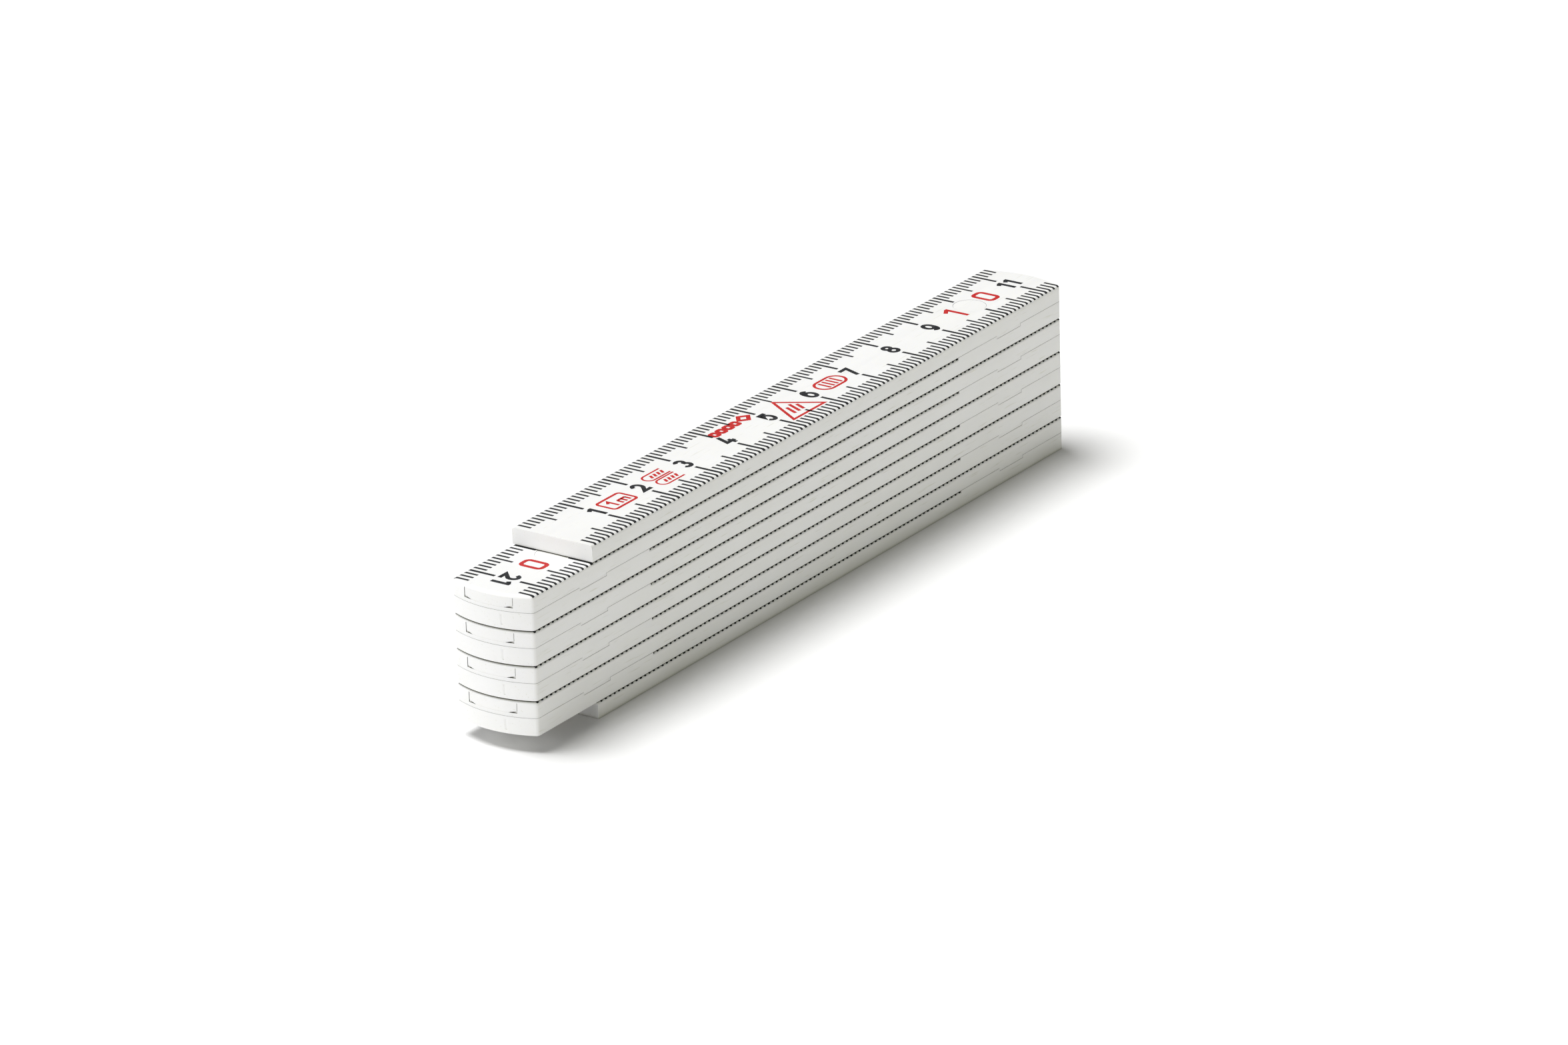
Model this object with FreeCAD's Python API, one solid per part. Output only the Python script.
"""Folding metre rule: ten flat moulded links, nine pinned hinges, a leaf spring detent in each.

Units are millimetres. The rule lies folded and flat, with the origin under the middle of the
stack on the surface it rests on. +X runs along the links and +Z is up. link_01 is the top link
and carries the zero mark. Hinge k joins link k (above the seam) to link k + 1 (below it).
Odd hinges stand at +X and even hinges at -X.
"""
import FreeCAD, Part
import math
import os

V = FreeCAD.Vector
UP = V(0, 0, 1)

# Overall sizes
LINK_COUNT = 10
HINGE_PITCH = 100.0        # from one hinge axis of a link to its other one
LINK_WIDTH = 13.0
END_RADIUS = 14.8          # rounded end, centred on the hinge axis
LINK_THICKNESS = 2.38
LAYER_GAP = 0.1            # air between two folded links, which keeps the print from rubbing

# Edges
TOP_EDGE_RADIUS = 0.5      # long edges and rounded ends; the cut square ends stay sharp
CORNER_EXTRA_RADIUS = 0.1  # how much rounder the upright corners are than the top edge

# Hinge register: a low disc under the upper link turns in a round recess of the lower link
PAD_LENGTH = 12.8          # unprinted bearing pad of the lower link, from the axis inwards
PAD_CLEARANCE = 0.02       # between the pad and the link above it
DISC_RADIUS = 7.1
RECESS_DEPTH = 0.42
BEARING_CLEARANCE = 0.03   # between faces that slide on each other
DISC_CLEARANCE = 0.06      # around the disc

# Hinge pin: round head in the upper link, hexagonal foot keyed in the lower link
HEAD_RADIUS = 2.35
HEAD_HEIGHT = 0.7
SHANK_RADIUS = 1.6         # also the corner radius of the hexagon, so that it passes the bore
PIN_CLEARANCE = 0.05

# Detent spring: strip of spring steel with a pressed rib near each end
POCKET_END_WALL = 0.6      # from the pocket's end to the edge of the disc
SPRING_WIDTH = 5.0
SPRING_THICKNESS = 0.3
SPRING_SIDE_GAP = 0.3
SPRING_FLEX_ROOM = 0.7
RIB_LENGTH = 2.4
RIB_WIDTH = 1.2
RIB_END_MARGIN = 0.5
RIB_SEAT_GAP = 0.02        # rib to the bottom of its groove
GROOVE_DEPTH = 0.3
GROOVE_COUNT = 4
GROOVE_SIDE_GAP = 0.1
LAND_WALL = 0.9            # ring around the pin bore that backs the middle of the spring

# Moulded recess in the end face over each spring, nearly filled by a boss
END_WINDOW_WIDTH = 7.8
END_WINDOW_DEPTH = 0.85    # at its two ends
END_WINDOW_BELOW = 0.54    # wall left below it
END_WINDOW_ABOVE = 0.42    # wall left above it
BOSS_INSET = 0.02          # boss face behind the end face
BOSS_SIDE_GAP = 0.1        # slit left open at each end of the boss
BOSS_CORNER_RADIUS = 0.12
NOTCH_LENGTH = 1.3         # shallow tapered notch at the foot of each slit
NOTCH_HEIGHT = 0.34
NOTCH_DEPTH = 0.2

# Heights in a link's own frame, where z = 0 is its underside. A lower link's heights are
# given in the frame of the link above it, so they are negative.
LAYER_PITCH = LINK_THICKNESS + LAYER_GAP
PAD_HEIGHT = LAYER_GAP - PAD_CLEARANCE
PAD_TOP = -PAD_CLEARANCE
RECESS_FLOOR = PAD_TOP - RECESS_DEPTH
DISC_UNDERSIDE = RECESS_FLOOR + BEARING_CLEARANCE
SPRING_UNDERSIDE = DISC_UNDERSIDE + BEARING_CLEARANCE
SPRING_TOP = SPRING_UNDERSIDE + SPRING_THICKNESS
POCKET_ROOF = SPRING_TOP + SPRING_FLEX_ROOM
GROOVE_BOTTOM = RECESS_FLOOR - GROOVE_DEPTH
HEAD_SEAT = LINK_THICKNESS - HEAD_HEIGHT
POCKET_LENGTH = 2 * (DISC_RADIUS - POCKET_END_WALL)
POCKET_WIDTH = SPRING_WIDTH + 2 * SPRING_SIDE_GAP
SPRING_LENGTH = POCKET_LENGTH - 2 * SPRING_SIDE_GAP
RIB_OUTER = SPRING_LENGTH / 2 - RIB_END_MARGIN
RIB_INNER = RIB_OUTER - RIB_LENGTH
RECESS_RADIUS = DISC_RADIUS + DISC_CLEARANCE
BORE_RADIUS = SHANK_RADIUS + PIN_CLEARANCE
HEAD_BORE_RADIUS = HEAD_RADIUS + PIN_CLEARANCE
CORNER_RADIUS = TOP_EDGE_RADIUS + CORNER_EXTRA_RADIUS
HALF_WIDTH = LINK_WIDTH / 2
HALF_PITCH = HINGE_PITCH / 2
BEYOND = 1.0               # how far a cutting body runs past the face it cuts


def cylinder(radius, bottom, top, x=0.0):
    return Part.makeCylinder(radius, top - bottom, V(x, 0, bottom), UP)


def block(x_low, x_high, half_width, bottom, top):
    return Part.makeBox(x_high - x_low, 2 * half_width, top - bottom, V(x_low, -half_width, bottom))


def stadium(length, width, bottom, top):
    """Upright slab with half-round ends, centred on the Z axis, long along X."""
    middle = length / 2 - width / 2
    body = block(-middle, middle, width / 2, bottom, top)
    for x in (-middle, middle):
        body = body.fuse(cylinder(width / 2, bottom, top, x))
    return body.removeSplitter()


def hexagon(radius, bottom, top):
    corners = [V(radius * math.cos(math.radians(60 * i)), radius * math.sin(math.radians(60 * i)),
                 bottom) for i in range(7)]
    return Part.Face(Part.makePolygon(corners)).extrude(UP * (top - bottom))


def round_bar(inner, outer, axis_height, radius):
    """Bar along X with domed ends, from x = inner to x = outer."""
    bar = Part.makeCylinder(radius, outer - inner - 2 * radius, V(inner + radius, 0, axis_height),
                            V(1, 0, 0))
    for x in (inner + radius, outer - radius):
        bar = bar.fuse(Part.makeSphere(radius, V(x, 0, axis_height)))
    return bar


def arc_radius(width, depth):
    """Radius of the arc that is width across at the surface and depth deep."""
    return (width ** 2 / 4 + depth ** 2) / (2 * depth)


def upright_edges(shape, x, tolerance=0.01):
    """Upright edges whose upper end lies at x."""
    found = []
    for edge in shape.Edges:
        a, b = edge.Vertexes[0].Point, edge.Vertexes[-1].Point
        if abs(a.x - b.x) < tolerance and abs(a.y - b.y) < tolerance and abs(a.x - x) < tolerance:
            found.append(edge)
    return found


def link_blank(left_round, right_round):
    """Plain link with its upright edges rounded, before any hinge feature."""
    reach = HALF_PITCH + END_RADIUS
    left = -reach if left_round else -HALF_PITCH
    right = reach if right_round else HALF_PITCH
    body = block(left, right, HALF_WIDTH, 0, LINK_THICKNESS)
    corner_offset = math.sqrt(END_RADIUS ** 2 - HALF_WIDTH ** 2)
    for side, is_round in ((-1, left_round), (1, right_round)):
        if is_round:
            end = cylinder(END_RADIUS, 0, LINK_THICKNESS, side * HALF_PITCH)
            inner = block(min(0, side * HALF_PITCH), max(0, side * HALF_PITCH), HALF_WIDTH, 0,
                          LINK_THICKNESS)
            other = block(min(0, -side * reach), max(0, -side * reach), HALF_WIDTH, 0,
                          LINK_THICKNESS)
            body = body.common(end.fuse(inner).fuse(other))
    body = body.removeSplitter()
    for side, is_round in ((-1, left_round), (1, right_round)):
        if is_round:
            corners = upright_edges(body, side * (HALF_PITCH + corner_offset))
            body = body.makeFillet(CORNER_RADIUS, corners)
    return body


def is_top_rim(edge, tolerance=0.01):
    """True for the long top edges and the rounded ends', but not for a square end's."""
    ends = [v.Point for v in edge.Vertexes]
    on_top = all(abs(p.z - LINK_THICKNESS) < tolerance for p in ends)
    square = all(abs(abs(p.x) - HALF_PITCH) < tolerance for p in ends)
    return on_top and not square


def round_top(body, has_lower_hinge):
    """Round the top rim, leaving the bearing pad of the lower hinge with sharp edges."""
    rounded = body.makeFillet(TOP_EDGE_RADIUS, [e for e in body.Edges if is_top_rim(e)])
    if not has_lower_hinge:
        return rounded
    pad_edge = -HALF_PITCH + PAD_LENGTH
    reach = HALF_PITCH + END_RADIUS + BEYOND
    pad_zone = block(-reach, pad_edge, LINK_WIDTH, -BEYOND, LINK_THICKNESS + BEYOND)
    pad = body.common(pad_zone)
    top_face = max(pad.Faces, key=lambda f: f.CenterOfMass.z)
    raised = top_face.extrude(UP * PAD_HEIGHT)
    return rounded.cut(pad_zone).fuse(pad).fuse(raised).removeSplitter()


def end_window():
    """Cutting body for the recess in the end face of an end centred on the Z axis."""
    half_width = END_WINDOW_WIDTH / 2
    window_top = LINK_THICKNESS - END_WINDOW_ABOVE
    edge_x = math.sqrt(END_RADIUS ** 2 - half_width ** 2)
    reach = END_RADIUS + BEYOND
    face_radius = END_RADIUS - BOSS_INSET
    boss_half_width = half_width - BOSS_SIDE_GAP
    boss = block(0, END_RADIUS, boss_half_width, END_WINDOW_BELOW - BEYOND, window_top + BEYOND)
    boss = boss.common(cylinder(face_radius, END_WINDOW_BELOW - BEYOND, window_top + BEYOND))
    corners = upright_edges(boss, math.sqrt(face_radius ** 2 - boss_half_width ** 2))
    boss = boss.makeFillet(BOSS_CORNER_RADIUS, corners)
    window = block(edge_x - END_WINDOW_DEPTH, reach, half_width, END_WINDOW_BELOW, window_top).cut(boss)
    notch_x = edge_x - NOTCH_DEPTH
    for side in (-1, 1):
        outer, inner = side * half_width, side * (half_width - NOTCH_LENGTH)
        outline = [V(notch_x, outer, END_WINDOW_BELOW), V(notch_x, inner, END_WINDOW_BELOW),
                   V(notch_x, outer, END_WINDOW_BELOW + NOTCH_HEIGHT)]
        notch = Part.Face(Part.makePolygon(outline + outline[:1])).extrude(V(reach - notch_x, 0, 0))
        window = window.fuse(notch)
    return window.removeSplitter()


def add_upper_hinge(body):
    """Disc, spring pocket, pin bore and end window, at x = +HALF_PITCH."""
    reach = END_RADIUS + BEYOND
    strip = block(-reach, reach, HALF_WIDTH, DISC_UNDERSIDE, BEYOND)
    disc = cylinder(DISC_RADIUS, DISC_UNDERSIDE, 0).common(strip)
    pocket = stadium(POCKET_LENGTH, POCKET_WIDTH, DISC_UNDERSIDE - BEYOND, POCKET_ROOF)
    land = cylinder(BORE_RADIUS + LAND_WALL, SPRING_TOP, POCKET_ROOF)
    bore = cylinder(BORE_RADIUS, DISC_UNDERSIDE - BEYOND, LINK_THICKNESS + BEYOND)
    head_bore = cylinder(HEAD_BORE_RADIUS, HEAD_SEAT - BEARING_CLEARANCE, LINK_THICKNESS + BEYOND)
    place = V(HALF_PITCH, 0, 0)
    body = body.fuse(disc.translated(place)).removeSplitter()
    for tool in (pocket.cut(land), bore, head_bore, end_window()):
        body = body.cut(tool.translated(place))
    return body


def groove():
    """One radial detent groove along +X, in the upper link's heights."""
    radius = arc_radius(RIB_WIDTH + 2 * GROOVE_SIDE_GAP, GROOVE_DEPTH)
    trough = Part.makeCylinder(radius, RIB_LENGTH + 2 * SPRING_SIDE_GAP,
                               V(RIB_INNER - SPRING_SIDE_GAP, 0, GROOVE_BOTTOM + radius), V(1, 0, 0))
    limit = block(0, RECESS_RADIUS, LINK_WIDTH, GROOVE_BOTTOM - BEYOND, DISC_UNDERSIDE)
    return trough.common(limit)


def add_lower_hinge(body):
    """Register recess, detent grooves and keyed pin seat, at x = -HALF_PITCH."""
    lift = V(-HALF_PITCH, 0, LAYER_PITCH)
    recess = cylinder(RECESS_RADIUS, RECESS_FLOOR, PAD_TOP + BEYOND)
    key = hexagon(SHANK_RADIUS, -LAYER_PITCH - BEYOND, PAD_TOP + BEYOND)
    seat = cylinder(HEAD_BORE_RADIUS, -LAYER_PITCH - BEYOND, -LAYER_PITCH + HEAD_HEIGHT)
    cuts = [recess, key, seat]
    for index in range(GROOVE_COUNT):
        one = groove()
        one.rotate(V(0, 0, 0), UP, 360.0 * index / GROOVE_COUNT)
        cuts.append(one)
    for tool in cuts:
        body = body.cut(tool.translated(lift))
    return body


def make_link(number):
    has_upper = number < LINK_COUNT
    has_lower = number > 1
    body = round_top(link_blank(left_round=has_lower, right_round=has_upper), has_lower)
    if has_upper:
        body = add_upper_hinge(body)
    if has_lower:
        body = add_lower_hinge(body)
    return body


def make_pin():
    """Pin on the Z axis, in the upper link's heights."""
    shank_foot = RECESS_FLOOR
    foot = -LAYER_PITCH
    head = cylinder(HEAD_RADIUS, HEAD_SEAT, LINK_THICKNESS)
    shank = cylinder(SHANK_RADIUS, shank_foot, HEAD_SEAT)
    key = hexagon(SHANK_RADIUS, foot + HEAD_HEIGHT, shank_foot)
    rivet = cylinder(HEAD_RADIUS, foot, foot + HEAD_HEIGHT)
    return head.fuse([shank, key, rivet]).removeSplitter()


def make_spring():
    """Leaf spring on the Z axis, in the upper link's heights, long along X."""
    strip = stadium(SPRING_LENGTH, SPRING_WIDTH, SPRING_UNDERSIDE, SPRING_TOP)
    strip = strip.cut(cylinder(BORE_RADIUS + PIN_CLEARANCE, SPRING_UNDERSIDE - BEYOND,
                               SPRING_TOP + BEYOND))
    radius = arc_radius(RIB_WIDTH, SPRING_UNDERSIDE - GROOVE_BOTTOM - RIB_SEAT_GAP)
    axis_height = GROOVE_BOTTOM + RIB_SEAT_GAP + radius
    middle = SPRING_UNDERSIDE + SPRING_THICKNESS / 2
    below = block(-SPRING_LENGTH, SPRING_LENGTH, SPRING_WIDTH, GROOVE_BOTTOM, middle)
    rib = round_bar(RIB_INNER, RIB_OUTER, axis_height, radius).common(below)
    hollow = round_bar(RIB_INNER + SPRING_THICKNESS, RIB_OUTER - SPRING_THICKNESS, axis_height,
                       radius - SPRING_THICKNESS)
    for turn in (0, 180):
        strip = strip.fuse(rib.rotated(V(0, 0, 0), UP, turn))
    for turn in (0, 180):
        strip = strip.cut(hollow.rotated(V(0, 0, 0), UP, turn))
    return strip.removeSplitter()


def place(shape, number, side):
    """Put a shape made at x = 0 on the hinge, or a link in its layer, at its height."""
    moved = shape.copy()
    moved.translate(V(side * HALF_PITCH, 0, (LINK_COUNT - number) * LAYER_PITCH))
    return moved


def save(shape, name):
    solid = shape.Solids[0]
    if len(shape.Solids) != 1 or not solid.isValid():
        raise ValueError(f"{name} is not one valid solid")
    solid.exportStep(f"parts/{name}.step")


os.makedirs("parts", exist_ok=True)

for number in range(1, LINK_COUNT + 1):
    link = make_link(number)
    if number % 2 == 0:
        link.rotate(V(0, 0, 0), UP, 180)
    save(place(link, number, 0), f"link_{number:02d}")

for hinge in range(1, LINK_COUNT):
    side = 1 if hinge % 2 else -1
    save(place(make_pin(), hinge, side), f"hinge_pin_{hinge}")
    save(place(make_spring(), hinge, side), f"detent_spring_{hinge}")
